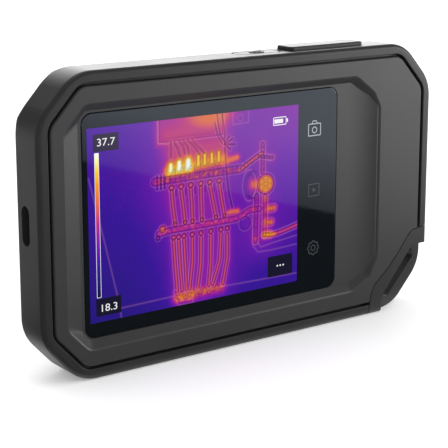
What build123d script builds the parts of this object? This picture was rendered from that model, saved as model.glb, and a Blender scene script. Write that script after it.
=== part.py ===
"""Pocket thermal imaging camera, held in landscape with its screen towards the user.

Frame: +X to the user's right, +Y away from the user and out of the lens side, +Z up. The origin is
the middle of the casing's underside. All sizes are in millimetres.
"""

from build123d import *
import math
import os

# --- Casing -----------------------------------------------------------------------------------
WIDTH, HEIGHT, DEPTH = 138.0, 84.0, 24.0
HALF_WIDTH, HALF_DEPTH = WIDTH / 2, DEPTH / 2
CORNER_X, CORNER_Z = 11.4, 12.5  # legs of the cut corners
OUTER_BEND, GROOVE_BEND = 12.0, 4.5  # rounding where a cut corner meets a side, outside and at the joint
FRONT_Y = -HALF_DEPTH  # plane of the front rim
BAND_BACK_Y = 1.0  # where the bumper band meets the rear cover
RIM_RADIUS, BAND_BACK_RADIUS = 1.3, 1.4
BUMPER_WALL, RING_WALL = 2.4, 1.6
GAP = 0.1  # assembly gap between neighbouring mouldings
GUARD_GAP = 0.3  # visible joint round the lanyard corner
GROOVE_OUT, GROOVE_IN = 3.1, 3.9  # insets of the dark joint round the front cover
GROOVE_BACK_Y = -10.0
RING_OUT = BUMPER_WALL + GAP
RING_IN = RING_OUT + RING_WALL
RING_BACK_Y = 0.5
COVER_BACK_Y = -8.2

# Rear cover: each facet faces a direction (degrees from +X towards +Z), starts at a distance from
# the middle of the casing at some depth, and has run inwards by some amount at the plateau.
PLATEAU_Y = 10.4
REAR_WALL = 1.9
CUT_ANGLE = math.degrees(math.atan2(CORNER_X, CORNER_Z))
REAR_FACETS = [
    (0, 68.4, BAND_BACK_Y, 16.0),
    (180, 68.4, BAND_BACK_Y, 16.0),
    (90, 41.5, BAND_BACK_Y, 6.5),
    (270, 42.0, 4.6, 8.0),
    (CUT_ANGLE, 70.3, BAND_BACK_Y, 14.0),
    (180 - CUT_ANGLE, 70.3, BAND_BACK_Y, 14.0),
    (180 + CUT_ANGLE, 70.3, BAND_BACK_Y, 14.0),
    (-CUT_ANGLE, 70.3, BAND_BACK_Y, 14.0),
]

# --- Screen -----------------------------------------------------------------------------------
GLASS_W, GLASS_H, GLASS_T, GLASS_R = 87.4, 61.4, 1.0, 3.2
GLASS_X, GLASS_Z = -11.4, 41.9
GLASS_Y = -10.2  # outer face of the cover glass
SEAL_T = 0.15
LCD_W, LCD_H, LCD_T = 73.2, 55.8, 1.3  # round a 3.5 inch, 4:3 picture
LCD_X, LCD_Z = -17.7, 41.9
LCD_BACK_Y = GLASS_Y + GLASS_T + LCD_T
GUIDE_T, TRAY_WALL = 1.5, 0.3

# Dish round the glass: its lip in the front plane, and its floor. Both run clockwise from lower left.
DISH_LIP = [
    (-60.9, 15.2), (-60.9, 68.0), (-54.8, 75.0), (38.4, 75.0), (45.4, 69.8),
    (47.9, 65.4), (47.9, 18.6), (45.0, 12.4), (38.0, 9.0), (-54.6, 8.6),
]
DISH_FLOOR = [
    (-56.2, 13.6), (-56.2, 70.6), (-53.9, 73.3), (37.6, 73.3), (44.0, 68.6),
    (46.2, 64.6), (46.2, 19.2), (43.8, 13.9), (37.6, 11.0), (-53.9, 10.8),
]
DISH_BEND, DISH_FLOOR_BEND = 3.4, 2.0
LIP_OUT, LIP_DROP = 0.5, 0.22  # bevel round the dish's lip
RAMP_START_X, RAMP_END_X, RAMP_END_Y = 33.6, 47.3, -11.6  # thumb ramp on the right of the glass
RAMP_END_SLOPE = 0.45

# --- Optics, on the lens side -----------------------------------------------------------------
OPTICS_Z = 60.5
IR_X, CAMERA_X, LAMP_X = -24.0, -6.0, 8.0
POD_LEFT, POD_RIGHT, POD_LOW, POD_HIGH, POD_CUT = -39.0, 20.0, 49.5, 71.5, 9.0
POD_Y = HALF_DEPTH
PLATE_SEAT_Y, OPTICS_PLATE_T = 11.0, 0.8
IR_APERTURE, CAMERA_APERTURE, LAMP_APERTURE = 4.6, 2.9, 3.3
BARREL_R, BARREL_BORE_R, IR_LENS_R = 6.0, 4.2, 5.0
HOUSING_X = (-39.5, -17.0)
HOUSING_Z = (52.0, 69.0)
HOUSING_BACK_Y, HOUSING_WALL = 3.4, 1.2
SHUTTER_Y, SHUTTER_T, SHUTTER_TRAVEL = 0.9, 0.3, 9.4

# Outline of the black plate round the three apertures.
PLATE_SHAPE = [
    (POD_LEFT + 2.2, OPTICS_Z),
    (POD_LEFT + POD_CUT + 1.2, POD_LOW + 2.0), (POD_RIGHT - POD_CUT - 1.2, POD_LOW + 2.0),
    (POD_RIGHT - 2.2, OPTICS_Z),
    (POD_RIGHT - POD_CUT - 1.2, POD_HIGH - 2.0), (POD_LEFT + POD_CUT + 1.2, POD_HIGH - 2.0),
]

# --- Inside -----------------------------------------------------------------------------------
PLATE_Y, PLATE_T = -5.6, 1.0  # stiffening plate behind the display
BOARD_Y, BOARD_T = -2.7, 1.0
BOARD_BACK_Y = BOARD_Y + BOARD_T
BOSS_R, CASE_SCREW_R, CASE_HEAD_R, CASE_HEAD_H = 2.5, 0.9, 1.9, 1.3
INNER_SCREW_R, INNER_HEAD_R, INNER_HEAD_H = 0.8, 1.5, 0.8
CASE_SCREWS = [(-59.5, 20.0), (-59.5, 66.0), (57.0, 66.0), (-20.0, 75.4), (-34.0, 8.4), (26.0, 8.4)]
GUARD_SCREW = (51.5, 20.0)
HEAD_SEAT_Y = 2.4
PLATE_SCREWS = [(-60.5, 30.0), (-60.5, 56.0), (60.5, 34.0), (60.5, 54.0)]
BOARD_SCREWS = [(-45.0, 22.0), (6.0, 22.0), (-45.0, 68.0), (6.0, 69.0)]
BATTERY_X, BATTERY_Y, BATTERY_Z = (14.0, 56.0), (-4.5, 1.7), (26.0, 62.0)

# --- Buttons on the top edge ------------------------------------------------------------------
SAVE_X, SAVE_Y, SAVE_L, SAVE_W, SAVE_PROUD = 29.8, -4.9, 27.4, 7.4, 1.2
POWER_X, POWER_Y, POWER_L, POWER_W = 6.5, -4.4, 15.4, 6.4
SAVE_BEND = 1.1  # rounding of the save cap's corners
BUTTON_CLEAR = 0.35
CAP_LOW_Z = HEIGHT - RING_OUT + 0.6
FLANGE_HIGH_Z = HEIGHT - RING_IN - 0.1
FLANGE_T = 1.1
NIB_LOW_Z = 78.1  # underside of the nib that works the switch
SWITCH_TOP_Z = 77.5
BUTTON_BOARD_Z = (74.2, 75.0)
BUTTON_BOARD_Y = (-7.6, -1.4)

# --- Port and tripod socket -------------------------------------------------------------------
PORT_Y, PORT_Z, PORT_L, PORT_W = -4.3, 43.4, 10.9, 4.2
USB_L, USB_W, USB_DEPTH, USB_WALL = 8.9, 3.2, 7.3, 0.3
TRIPOD_X, TRIPOD_Y = -8.0, -4.1
TRIPOD_HOLE_R, TRIPOD_OUT_R = 2.55, 3.8
TRIPOD_Z = (0.2, 7.8)

# --- Lanyard corner, lower right --------------------------------------------------------------
# Inner edge of the corner piece, from the right side round to the underside.
GUARD_EDGE = [(62.4, 24.4), (60.6, 22.6), (58.2, 19.4), (53.2, 14.0), (47.4, 9.2), (46.0, 6.6)]
GUARD_TOP_Z, GUARD_LEFT_X = 25.6, 44.3
GUARD_BACK_Y = BAND_BACK_Y
# Edge of its flange towards the strap slot.
FLANGE_EDGE = [(75.0, 19.9), (63.0, 19.9), (61.2, 17.9), (51.6, 6.6), (50.2, 4.4), (50.2, -6.0)]
BAR_FRONT_Y, BAR_BACK_Y = -8.6, -1.0
SLOT_WIDTH, SLOT_LENGTH, SLOT_BEND = 5.3, 18.4, 2.2
SLOT_X, SLOT_Z = 59.1, 10.9  # middle of the strap slot
TONGUE_Y = (-1.2, 0.4)


def depth_plane(y):
    """Plane across the casing at depth y. Its own axes are X and Z, and extrusions from it run to -Y."""
    return Plane(origin=(0, y, 0), x_dir=(1, 0, 0), z_dir=(0, -1, 0))


def outline(inset):
    """The casing's rounded outline as a sketch, moved inwards by inset. Its corners tighten inwards."""
    groove_bend = GROOVE_BEND + GROOVE_IN - inset
    share = min(inset / BUMPER_WALL, 1.0)
    slant = math.atan2(CORNER_Z, CORNER_X)
    side_x = HALF_WIDTH - inset
    flat_x = HALF_WIDTH - CORNER_X - inset * math.tan(slant / 2)
    rise = CORNER_Z + inset * math.tan((math.pi / 2 - slant) / 2)
    corners = [
        (-flat_x, inset), (flat_x, inset), (side_x, rise), (side_x, HEIGHT - rise),
        (flat_x, HEIGHT - inset), (-flat_x, HEIGHT - inset), (-side_x, HEIGHT - rise), (-side_x, rise),
    ]
    with BuildSketch(mode=Mode.PRIVATE) as shape:
        Polygon(*corners, align=None)
        fillet(shape.vertices(), radius=OUTER_BEND + (groove_bend - OUTER_BEND) * share)
    return shape.sketch


def rounded(x, z, width, height, radius):
    """A rounded rectangle as a sketch, centred on x, z."""
    with BuildSketch(mode=Mode.PRIVATE) as shape:
        with Locations((x, z)):
            RectangleRounded(width, height, radius)
    return shape.sketch


def discs(centres, radius):
    """One circle on each centre, as a sketch."""
    with BuildSketch(mode=Mode.PRIVATE) as shape:
        with Locations(*centres):
            Circle(radius)
    return shape.sketch


def closed_shape(points, radius):
    """A closed polygon with rounded corners, as a sketch."""
    with BuildSketch(mode=Mode.PRIVATE) as shape:
        Polygon(*points, align=None)
        fillet(shape.vertices(), radius=radius)
    return shape.sketch


def guard_region(grow=0.0):
    """The corner that belongs to the lanyard guard, as a sketch, grown inwards by grow."""
    far = HALF_WIDTH + 6
    with BuildSketch(mode=Mode.PRIVATE) as region:
        Polygon((far, GUARD_TOP_Z + 0.9), *GUARD_EDGE, (GUARD_LEFT_X, -6), (far, -6), align=None)
        if grow:
            offset(amount=grow)
    return region.sketch


def slab(shape, front, back, mode=Mode.ADD):
    """Extrudes a sketch drawn in X and Z from depth front to depth back, in the open part."""
    extrude(depth_plane(back) * shape, amount=back - front, mode=mode)


def block(x, y, z, mode=Mode.ADD):
    """A box between two limits along each axis, in the open part."""
    with Locations(((x[0] + x[1]) / 2, (y[0] + y[1]) / 2, (z[0] + z[1]) / 2)):
        Box(x[1] - x[0], y[1] - y[0], z[1] - z[0], mode=mode)


def ribbon(x, path, thickness=0.2, radius=0.7):
    """A flat flexible strip between two limits along X, bent along a path given in Y and Z."""
    with BuildSketch(Plane.YZ.offset(x[0]), mode=Mode.PRIVATE) as strip:
        with BuildLine():
            FilletPolyline(*path, radius=radius)
        trace(line_width=thickness)
    extrude(strip.sketch, amount=x[1] - x[0])


def rear_solid(inset):
    """The faceted body of the rear cover, with every face moved inwards by inset."""
    with BuildPart(mode=Mode.PRIVATE) as body:
        block((-80, 80), (BAND_BACK_Y, PLATEAU_Y - inset), (-10, HEIGHT + 10))
        for angle, reach, start_y, run in REAR_FACETS:
            out = Vector(math.cos(math.radians(angle)), 0, math.sin(math.radians(angle)))
            slope = (out * (PLATEAU_Y - start_y) + Vector(0, run, 0)).normalized()
            on_slope = Vector(0, start_y, HEIGHT / 2) + out * reach - slope * inset
            split(bisect_by=Plane(origin=on_slope, z_dir=slope), keep=Keep.BOTTOM)
            on_side = Vector(0, 0, HEIGHT / 2) + out * (reach - inset)
            split(bisect_by=Plane(origin=on_side, z_dir=out), keep=Keep.BOTTOM)
    return body.part


def finish(builder, name):
    """Names a finished piece and writes it as its own STEP file."""
    builder.part.label = name
    export_step(builder.part, f"parts/{name}.step")
    print(name, len(builder.solids()), round(builder.part.volume, 1))


os.makedirs("parts", exist_ok=True)

# === Casing ===================================================================================

with BuildPart() as bumper:
    slab(outline(0), FRONT_Y, BAND_BACK_Y)
    fillet(bumper.faces().sort_by(Axis.Y)[0].edges(), radius=RIM_RADIUS)
    fillet(bumper.faces().sort_by(Axis.Y)[-1].edges(), radius=BAND_BACK_RADIUS)
    slab(outline(BUMPER_WALL), GROOVE_BACK_Y, BAND_BACK_Y, Mode.SUBTRACT)
    slab(outline(GROOVE_OUT), FRONT_Y, GROOVE_BACK_Y, Mode.SUBTRACT)
    fillet(bumper.faces().sort_by(Axis.Y)[0].inner_wires()[0].edges(), radius=0.25)
    slab(guard_region(GUARD_GAP), FRONT_Y, BAND_BACK_Y, Mode.SUBTRACT)
    with BuildSketch(Plane.XY.offset(HEIGHT)):
        with Locations((SAVE_X, SAVE_Y)):
            RectangleRounded(SAVE_L + 2 * BUTTON_CLEAR, SAVE_W + 2 * BUTTON_CLEAR,
                             SAVE_BEND + BUTTON_CLEAR)
        with Locations((POWER_X, POWER_Y)):
            SlotOverall(POWER_L + 2 * BUTTON_CLEAR, POWER_W + 2 * BUTTON_CLEAR)
    extrude(amount=-BUMPER_WALL - 1, mode=Mode.SUBTRACT)
    with BuildSketch(Plane.YZ.offset(-HALF_WIDTH)):
        with Locations((PORT_Y, PORT_Z)):
            SlotOverall(PORT_L, PORT_W, rotation=90)
    extrude(amount=BUMPER_WALL + 1, mode=Mode.SUBTRACT)
    with BuildSketch(Plane.XY):
        with Locations((TRIPOD_X, TRIPOD_Y)):
            Circle(TRIPOD_OUT_R + GAP)
    extrude(amount=BUMPER_WALL + 0.5, mode=Mode.SUBTRACT)
finish(bumper, "bumper_band")

with BuildPart() as dish:
    with BuildSketch(depth_plane(FRONT_Y)):
        add(closed_shape(DISH_LIP, DISH_BEND))
        offset(amount=LIP_OUT)
    with BuildSketch(depth_plane(FRONT_Y + LIP_DROP)):
        add(closed_shape(DISH_LIP, DISH_BEND))
    with BuildSketch(depth_plane(GLASS_Y)):
        add(closed_shape(DISH_FLOOR, DISH_FLOOR_BEND))
    loft(ruled=True)
    with BuildSketch(Plane.XY):
        with BuildLine():
            ramp = Spline((RAMP_START_X, GLASS_Y), (RAMP_END_X, RAMP_END_Y),
                          tangents=[(1, 0), (1, -RAMP_END_SLOPE)])
            Polyline(ramp @ 1, (60, RAMP_END_Y), (60, GLASS_Y + 1), (RAMP_START_X, GLASS_Y + 1), ramp @ 0)
        make_face()
    extrude(amount=HEIGHT, mode=Mode.SUBTRACT)

with BuildPart() as front_cover:
    slab(outline(GROOVE_IN), FRONT_Y, GROOVE_BACK_Y + 0.5)
    fillet(front_cover.faces().sort_by(Axis.Y)[0].edges(), radius=0.5)
    slab(outline(RING_OUT), GROOVE_BACK_Y + 0.05, RING_BACK_Y)
    slab(outline(RING_IN), COVER_BACK_Y, RING_BACK_Y, Mode.SUBTRACT)
    add(dish.part, mode=Mode.SUBTRACT)
    slab(rounded(GLASS_X, GLASS_Z, GLASS_W + 0.3, GLASS_H + 0.3, GLASS_R), FRONT_Y,
         GLASS_Y + GLASS_T + SEAL_T, Mode.SUBTRACT)
    slab(rounded(LCD_X, LCD_Z, LCD_W + 0.3, LCD_H + 0.3, 0.6), FRONT_Y, COVER_BACK_Y, Mode.SUBTRACT)
    block((-28.2, -11.8), (GLASS_Y + GLASS_T + SEAL_T, COVER_BACK_Y), (11.2, 14.2), Mode.SUBTRACT)
    # Screw bosses, and the block round the tripod socket.
    slab(discs(CASE_SCREWS, BOSS_R), COVER_BACK_Y - 0.1, RING_BACK_Y)
    slab(discs([GUARD_SCREW], BOSS_R), COVER_BACK_Y - 0.1, TONGUE_Y[0] - 0.05)
    slab(discs(PLATE_SCREWS, 1.9), COVER_BACK_Y - 0.1, PLATE_Y)
    block((TRIPOD_X - 6, TRIPOD_X + 6), (COVER_BACK_Y - 0.1, 0.3), (RING_OUT + 0.2, 9.6))
    for x in (-1.2, 16.2, 47.4):
        block((x - 0.8, x + 0.8), (COVER_BACK_Y - 0.1, BUTTON_BOARD_Y[1]), (72.6, BUTTON_BOARD_Z[0]))
    slab(discs(CASE_SCREWS + [GUARD_SCREW], CASE_SCREW_R), -6.4, RING_BACK_Y, Mode.SUBTRACT)
    slab(discs(PLATE_SCREWS, INNER_SCREW_R), -7.9, PLATE_Y, Mode.SUBTRACT)
    slab(guard_region(GUARD_GAP), FRONT_Y, RING_BACK_Y, Mode.SUBTRACT)
    # Openings for the stems of the two buttons, and a relief for the front of the save cap.
    with BuildSketch(Plane.XY.offset(HEIGHT)):
        with Locations((SAVE_X, SAVE_Y)):
            RectangleRounded(SAVE_L - 1.7, 5.6, 1.0)
        with Locations((POWER_X, POWER_Y)):
            RectangleRounded(POWER_L - 1.7, POWER_W - 1.0, 0.5)
    extrude(amount=-RING_IN - 1, mode=Mode.SUBTRACT)
    # Port opening with a step for its seal.
    with BuildSketch(Plane.YZ.offset(-HALF_WIDTH)):
        with Locations((PORT_Y, PORT_Z)):
            SlotOverall(USB_L + 1.6, USB_W + 1.6, rotation=90)
    extrude(amount=RING_IN + 1, mode=Mode.SUBTRACT)
    with BuildSketch(Plane.XY):
        with Locations((TRIPOD_X, TRIPOD_Y)):
            Circle(TRIPOD_OUT_R)
    extrude(amount=TRIPOD_Z[1], mode=Mode.SUBTRACT)
finish(front_cover, "front_cover")

with BuildPart() as rear_cavity:
    add(rear_solid(REAR_WALL))
    slab(outline(RING_IN), BAND_BACK_Y, PLATEAU_Y, Mode.INTERSECT)
    slab(guard_region(REAR_WALL), BAND_BACK_Y, PLATEAU_Y, Mode.SUBTRACT)
    slab(discs(CASE_SCREWS + [GUARD_SCREW], CASE_HEAD_R + 1.3), BAND_BACK_Y, PLATEAU_Y, Mode.SUBTRACT)

with BuildPart() as rear_cover:
    add(rear_solid(0))
    behind = rear_cover.faces().sort_by(Axis.Y)[0].edges()
    fillet([e for e in rear_cover.edges() if e not in behind], radius=1.6)
    slab(outline(0.6), BAND_BACK_Y, PLATEAU_Y, Mode.INTERSECT)
    with BuildSketch(depth_plane(PLATEAU_Y - 0.5)):
        middle_z = (POD_LOW + POD_HIGH) / 2
        Polygon(
            (POD_LEFT, middle_z), (POD_LEFT + POD_CUT, POD_LOW), (POD_RIGHT - POD_CUT, POD_LOW),
            (POD_RIGHT, middle_z), (POD_RIGHT - POD_CUT, POD_HIGH), (POD_LEFT + POD_CUT, POD_HIGH),
            align=None,
        )
    extrude(amount=-(POD_Y - PLATEAU_Y + 0.5), taper=12)
    # Finger grooves on the thick end.
    for x in (31.0, 34.5, 38.0, 41.5, 45.0):
        slab(rounded(x, 40.0, 1.4, 34.0, 0.69), PLATEAU_Y - 0.5, PLATEAU_Y + 1, Mode.SUBTRACT)
    add(rear_cavity.part, mode=Mode.SUBTRACT)
    slab(guard_region(GAP), BAND_BACK_Y, POD_Y, Mode.SUBTRACT)
    # Seat of the optics plate and the three bores behind it.
    slab(closed_shape(PLATE_SHAPE, 1.0), PLATE_SEAT_Y, POD_Y + 1, Mode.SUBTRACT)
    slab(discs([(IR_X, OPTICS_Z)], BARREL_R + GAP), PLATEAU_Y - 3, POD_Y, Mode.SUBTRACT)
    slab(discs([(CAMERA_X, OPTICS_Z)], 3.6), PLATEAU_Y - 3, POD_Y, Mode.SUBTRACT)
    slab(discs([(CAMERA_X, OPTICS_Z), (LAMP_X, OPTICS_Z)], 4.0), 10.4, POD_Y, Mode.SUBTRACT)
    slab(discs([(LAMP_X, OPTICS_Z)], 4.0), PLATEAU_Y - 3, POD_Y, Mode.SUBTRACT)
    slab(discs(CASE_SCREWS + [GUARD_SCREW], CASE_SCREW_R + 0.2), BAND_BACK_Y, POD_Y, Mode.SUBTRACT)
    slab(discs(CASE_SCREWS + [GUARD_SCREW], CASE_HEAD_R + 0.2), HEAD_SEAT_Y, POD_Y, Mode.SUBTRACT)
finish(rear_cover, "rear_cover")

with BuildPart() as case_seal:
    slab(outline(RING_OUT + 0.3), RING_BACK_Y, BAND_BACK_Y)
    slab(outline(RING_IN - 0.2), RING_BACK_Y, BAND_BACK_Y, Mode.SUBTRACT)
    slab(guard_region(GAP), RING_BACK_Y, BAND_BACK_Y, Mode.SUBTRACT)
finish(case_seal, "case_seal")

with BuildPart() as corner_guard:
    slab(outline(0), FRONT_Y, GUARD_BACK_Y)
    fillet(corner_guard.faces().sort_by(Axis.Y)[0].edges(), radius=RIM_RADIUS)
    slab(guard_region(), FRONT_Y, GUARD_BACK_Y, Mode.INTERSECT)
    # The strap bar lies deeper than the flange, with a slot between the two.
    slab(closed_shape(FLANGE_EDGE + [(75.0, -6.0)], 1.0), FRONT_Y, BAR_FRONT_Y, Mode.SUBTRACT)
    slab(closed_shape(FLANGE_EDGE + [(75.0, -6.0)], 1.0), BAR_BACK_Y, GUARD_BACK_Y, Mode.SUBTRACT)
    with BuildSketch(depth_plane(GUARD_BACK_Y)):
        with Locations((SLOT_X, SLOT_Z)):
            RectangleRounded(SLOT_LENGTH, SLOT_WIDTH, SLOT_BEND, rotation=90 - CUT_ANGLE)
    extrude(amount=DEPTH / 2, mode=Mode.SUBTRACT)
    # Tongue that reaches under the covers and is clamped by one case screw.
    with BuildSketch(depth_plane(TONGUE_Y[1])):
        SlotCenterPoint(center=(53.4, 18.3), point=GUARD_SCREW, height=6.8)
    extrude(amount=TONGUE_Y[1] - TONGUE_Y[0])
    slab(discs([GUARD_SCREW], CASE_SCREW_R + 0.2), TONGUE_Y[0], TONGUE_Y[1], Mode.SUBTRACT)
finish(corner_guard, "corner_guard")

with BuildPart() as tripod_insert:
    with BuildSketch(Plane.XY.offset(TRIPOD_Z[0])):
        with Locations((TRIPOD_X, TRIPOD_Y)):
            Circle(TRIPOD_OUT_R - 0.02)
            Circle(TRIPOD_HOLE_R, mode=Mode.SUBTRACT)
    extrude(amount=TRIPOD_Z[1] - TRIPOD_Z[0])
    rims = tripod_insert.edges().filter_by(GeomType.CIRCLE).group_by(Axis.Z)[0]
    chamfer(rims, length=0.3)
finish(tripod_insert, "tripod_insert")

# === Screen ===================================================================================

with BuildPart() as display_glass:
    slab(rounded(GLASS_X, GLASS_Z, GLASS_W, GLASS_H, GLASS_R), GLASS_Y, GLASS_Y + GLASS_T)
    fillet(display_glass.faces().sort_by(Axis.Y)[0].edges(), radius=0.25)
finish(display_glass, "display_glass")

with BuildPart() as display_seal:
    seal_back = GLASS_Y + GLASS_T + SEAL_T
    slab(rounded(GLASS_X, GLASS_Z, GLASS_W - 0.2, GLASS_H - 0.2, GLASS_R), GLASS_Y + GLASS_T, seal_back)
    slab(rounded(LCD_X, LCD_Z, LCD_W + 0.3, LCD_H + 0.3, 0.6), GLASS_Y, seal_back, Mode.SUBTRACT)
finish(display_seal, "display_seal")

with BuildPart() as lcd_panel:
    slab(rounded(LCD_X, LCD_Z, LCD_W, LCD_H, 0.4), GLASS_Y + GLASS_T, LCD_BACK_Y)
finish(lcd_panel, "lcd_panel")

with BuildPart() as light_guide:
    slab(rounded(LCD_X, LCD_Z, LCD_W - 1.0, LCD_H - 1.0, 0.4), LCD_BACK_Y, LCD_BACK_Y + GUIDE_T)
finish(light_guide, "light_guide")

with BuildPart() as lcd_tray:
    tray_back = LCD_BACK_Y + GUIDE_T + TRAY_WALL
    slab(rounded(LCD_X, LCD_Z, LCD_W, LCD_H, 0.6), LCD_BACK_Y, tray_back)
    slab(rounded(LCD_X, LCD_Z, LCD_W - 2 * TRAY_WALL, LCD_H - 2 * TRAY_WALL, 0.4),
         LCD_BACK_Y, LCD_BACK_Y + GUIDE_T, Mode.SUBTRACT)
finish(lcd_tray, "lcd_tray")

with BuildPart() as display_flex:
    ribbon((-27.0, -13.0), [(-8.7, 13.95), (-8.7, 11.6), (-1.55, 11.6), (-1.55, 22.0)])
finish(display_flex, "display_flex")

# === Inside ===================================================================================

with BuildPart() as mid_plate:
    slab(closed_shape([(-63.4, 15.5), (-63.4, 68.0), (-59.0, 72.4), (60.0, 72.4), (63.4, 69.0),
                       (63.4, 31.0), (47.0, 12.5), (-60.5, 12.5)], 1.5), PLATE_Y, PLATE_Y + PLATE_T)
    slab(discs(CASE_SCREWS + [GUARD_SCREW], BOSS_R + 0.4), PLATE_Y, BOARD_Y, Mode.SUBTRACT)
    slab(discs(PLATE_SCREWS, INNER_SCREW_R + 0.15), PLATE_Y, BOARD_Y, Mode.SUBTRACT)
    block((-70, -58.6), (PLATE_Y, BOARD_Y), (PORT_Z - 5.6, PORT_Z + 5.6), Mode.SUBTRACT)
    block((-28.5, -11.5), (PLATE_Y, BOARD_Y), (10, 14.0), Mode.SUBTRACT)
    slab(guard_region(1.0), PLATE_Y, BOARD_Y, Mode.SUBTRACT)
    for x in (-32.0, -12.0):
        slab(rounded(x, 40.0, 12.0, 20.0, 2.0), PLATE_Y, BOARD_Y, Mode.SUBTRACT)
    slab(discs(BOARD_SCREWS, 1.9), PLATE_Y + PLATE_T, BOARD_Y)
    slab(discs(BOARD_SCREWS, INNER_SCREW_R), PLATE_Y + 0.6, BOARD_Y, Mode.SUBTRACT)
finish(mid_plate, "mid_plate")

with BuildPart() as main_board:
    slab(closed_shape([(-62.4, 24.5), (-62.4, 61.5), (-55.5, 61.5), (-55.5, 71.8), (10.0, 71.8),
                       (10.0, 17.0), (-55.5, 17.0), (-55.5, 24.5)], 1.2), BOARD_Y, BOARD_BACK_Y)
    slab(discs(BOARD_SCREWS, INNER_SCREW_R + 0.15), BOARD_Y, BOARD_BACK_Y, Mode.SUBTRACT)
    slab(discs([(-60.5, 30.0), (-60.5, 56.0)], INNER_HEAD_R + 0.5), BOARD_Y, BOARD_BACK_Y, Mode.SUBTRACT)
finish(main_board, "main_board")

with BuildPart() as board_chips:
    for x, z, width, height, thick in ((-40, 38, 12, 12, 1.2), (-25, 38, 10, 12, 1.0), (-48, 55, 6, 6, 0.9),
                                       (-8, 30, 5, 5, 0.9), (-14, 44, 3.2, 2.5, 0.8), (-30, 24, 4, 4, 0.8)):
        block((x - width / 2, x + width / 2), (BOARD_BACK_Y, BOARD_BACK_Y + thick),
              (z - height / 2, z + height / 2))
finish(board_chips, "board_chips")

with BuildPart() as shield_can:
    block((-48.0, -18.5), (BOARD_BACK_Y, BOARD_BACK_Y + 2.0), (30.0, 46.5))
    fillet(shield_can.edges().filter_by(Axis.Y), radius=0.6)
    block((-47.8, -18.7), (BOARD_BACK_Y, BOARD_BACK_Y + 1.8), (30.2, 46.3), Mode.SUBTRACT)
finish(shield_can, "shield_can")

with BuildPart() as board_sockets:
    block((-26.0, -14.0), (BOARD_BACK_Y + 0.25, BOARD_BACK_Y + 1.1), (20.0, 23.0))
    block((1.0, 8.0), (BOARD_BACK_Y, BOARD_BACK_Y + 1.6), (47.0, 53.0))
    block((-9.0, -2.0), (BOARD_BACK_Y, BOARD_BACK_Y + 0.8), (50.0, 52.0))
    block((1.5, 7.0), (BOARD_BACK_Y, BOARD_BACK_Y + 0.8), (56.0, 58.0))
finish(board_sockets, "board_sockets")

with BuildPart() as battery:
    block(BATTERY_X, BATTERY_Y, BATTERY_Z)
    fillet(battery.edges().filter_by(Axis.Z), radius=2.0)
finish(battery, "battery")

with BuildPart() as battery_lead:
    for z in (48.6, 50.0, 51.4):
        with BuildSketch(Plane.YZ.offset(8.9)):
            with Locations((BOARD_BACK_Y + 0.85, z)):
                Circle(0.5)
        extrude(amount=BATTERY_X[0] - 8.9)
    block((5.6, 9.0), (BOARD_BACK_Y + 1.6, BOARD_BACK_Y + 2.0), (47.5, 52.5))
    block((8.1, 9.0), (BOARD_BACK_Y + 0.2, BOARD_BACK_Y + 2.0), (47.5, 52.5))
finish(battery_lead, "battery_lead")

with BuildPart() as inner_screws:
    for places, seat in ((PLATE_SCREWS, PLATE_Y + PLATE_T), (BOARD_SCREWS, BOARD_BACK_Y)):
        slab(discs(places, INNER_HEAD_R), seat, seat + INNER_HEAD_H)
        slab(discs(places, INNER_SCREW_R - 0.02), seat - 2.6, seat + 0.1)
finish(inner_screws, "inner_screws")

with BuildPart() as case_screws:
    places = CASE_SCREWS + [GUARD_SCREW]
    slab(discs(places, CASE_HEAD_R), HEAD_SEAT_Y, HEAD_SEAT_Y + CASE_HEAD_H)
    fillet(case_screws.edges().filter_by(GeomType.CIRCLE).group_by(Axis.Y)[-1], radius=0.4)
    slab(discs(places, CASE_SCREW_R - 0.02), -6.0, HEAD_SEAT_Y + 0.1)
    with BuildSketch(depth_plane(HEAD_SEAT_Y + CASE_HEAD_H)):
        with Locations(*places):
            RegularPolygon(0.85, 6)
    extrude(amount=0.8, mode=Mode.SUBTRACT)
finish(case_screws, "case_screws")

with BuildPart() as wifi_antenna:
    block((-54.0, -30.0), (BOARD_Y, BOARD_Y + 0.6), (73.2, 79.0))
    block((-44.0, -40.0), (BOARD_Y, BOARD_Y + 0.6), (71.9, 73.2))
finish(wifi_antenna, "wifi_antenna")

# === Buttons ==================================================================================

with BuildPart() as button_board:
    block((-2.5, 49.0), BUTTON_BOARD_Y, BUTTON_BOARD_Z)
finish(button_board, "button_board")

with BuildPart() as button_flex:
    ribbon((-0.2, 4.4), [(-4.0, 74.1), (-1.1, 74.1), (-1.1, 72.6), (-1.6, 71.6), (-1.6, 67.5)], radius=0.25)
finish(button_flex, "button_flex")


def tact_switch(x, y):
    """A small push switch standing on the button board, in the open part."""
    low = BUTTON_BOARD_Z[1]
    block((x - 2.2, x + 2.2), (y - 1.7, y + 1.7), (low, low + 1.8))
    with BuildSketch(Plane.XY.offset(low + 1.8)) as plunger:
        with Locations((x, y)):
            Circle(1.0)
    extrude(plunger.sketch, amount=SWITCH_TOP_Z - low - 1.8)


def button_stem(x, y, width, depth):
    """The stem, retaining flange and switch nib below a button cap, in the open part."""
    block((x - width / 2 + 1.1, x + width / 2 - 1.1), (y - depth / 2 + 1.1, y + depth / 2 - 1.1),
          (FLANGE_HIGH_Z - 0.1, CAP_LOW_Z + 0.1))
    block((x - width / 2 - 0.2, x + width / 2 + 0.2), (y - depth / 2 + 0.6, y + depth / 2 - 0.1),
          (FLANGE_HIGH_Z - FLANGE_T, FLANGE_HIGH_Z))
    block((x - 1.4, x + 1.4), (y - 1.0, y + 1.0), (NIB_LOW_Z, FLANGE_HIGH_Z - FLANGE_T + 0.1))


with BuildPart() as save_switch:
    tact_switch(SAVE_X, SAVE_Y)
finish(save_switch, "save_switch")

with BuildPart() as power_switch:
    tact_switch(POWER_X, POWER_Y)
finish(power_switch, "power_switch")

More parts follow.
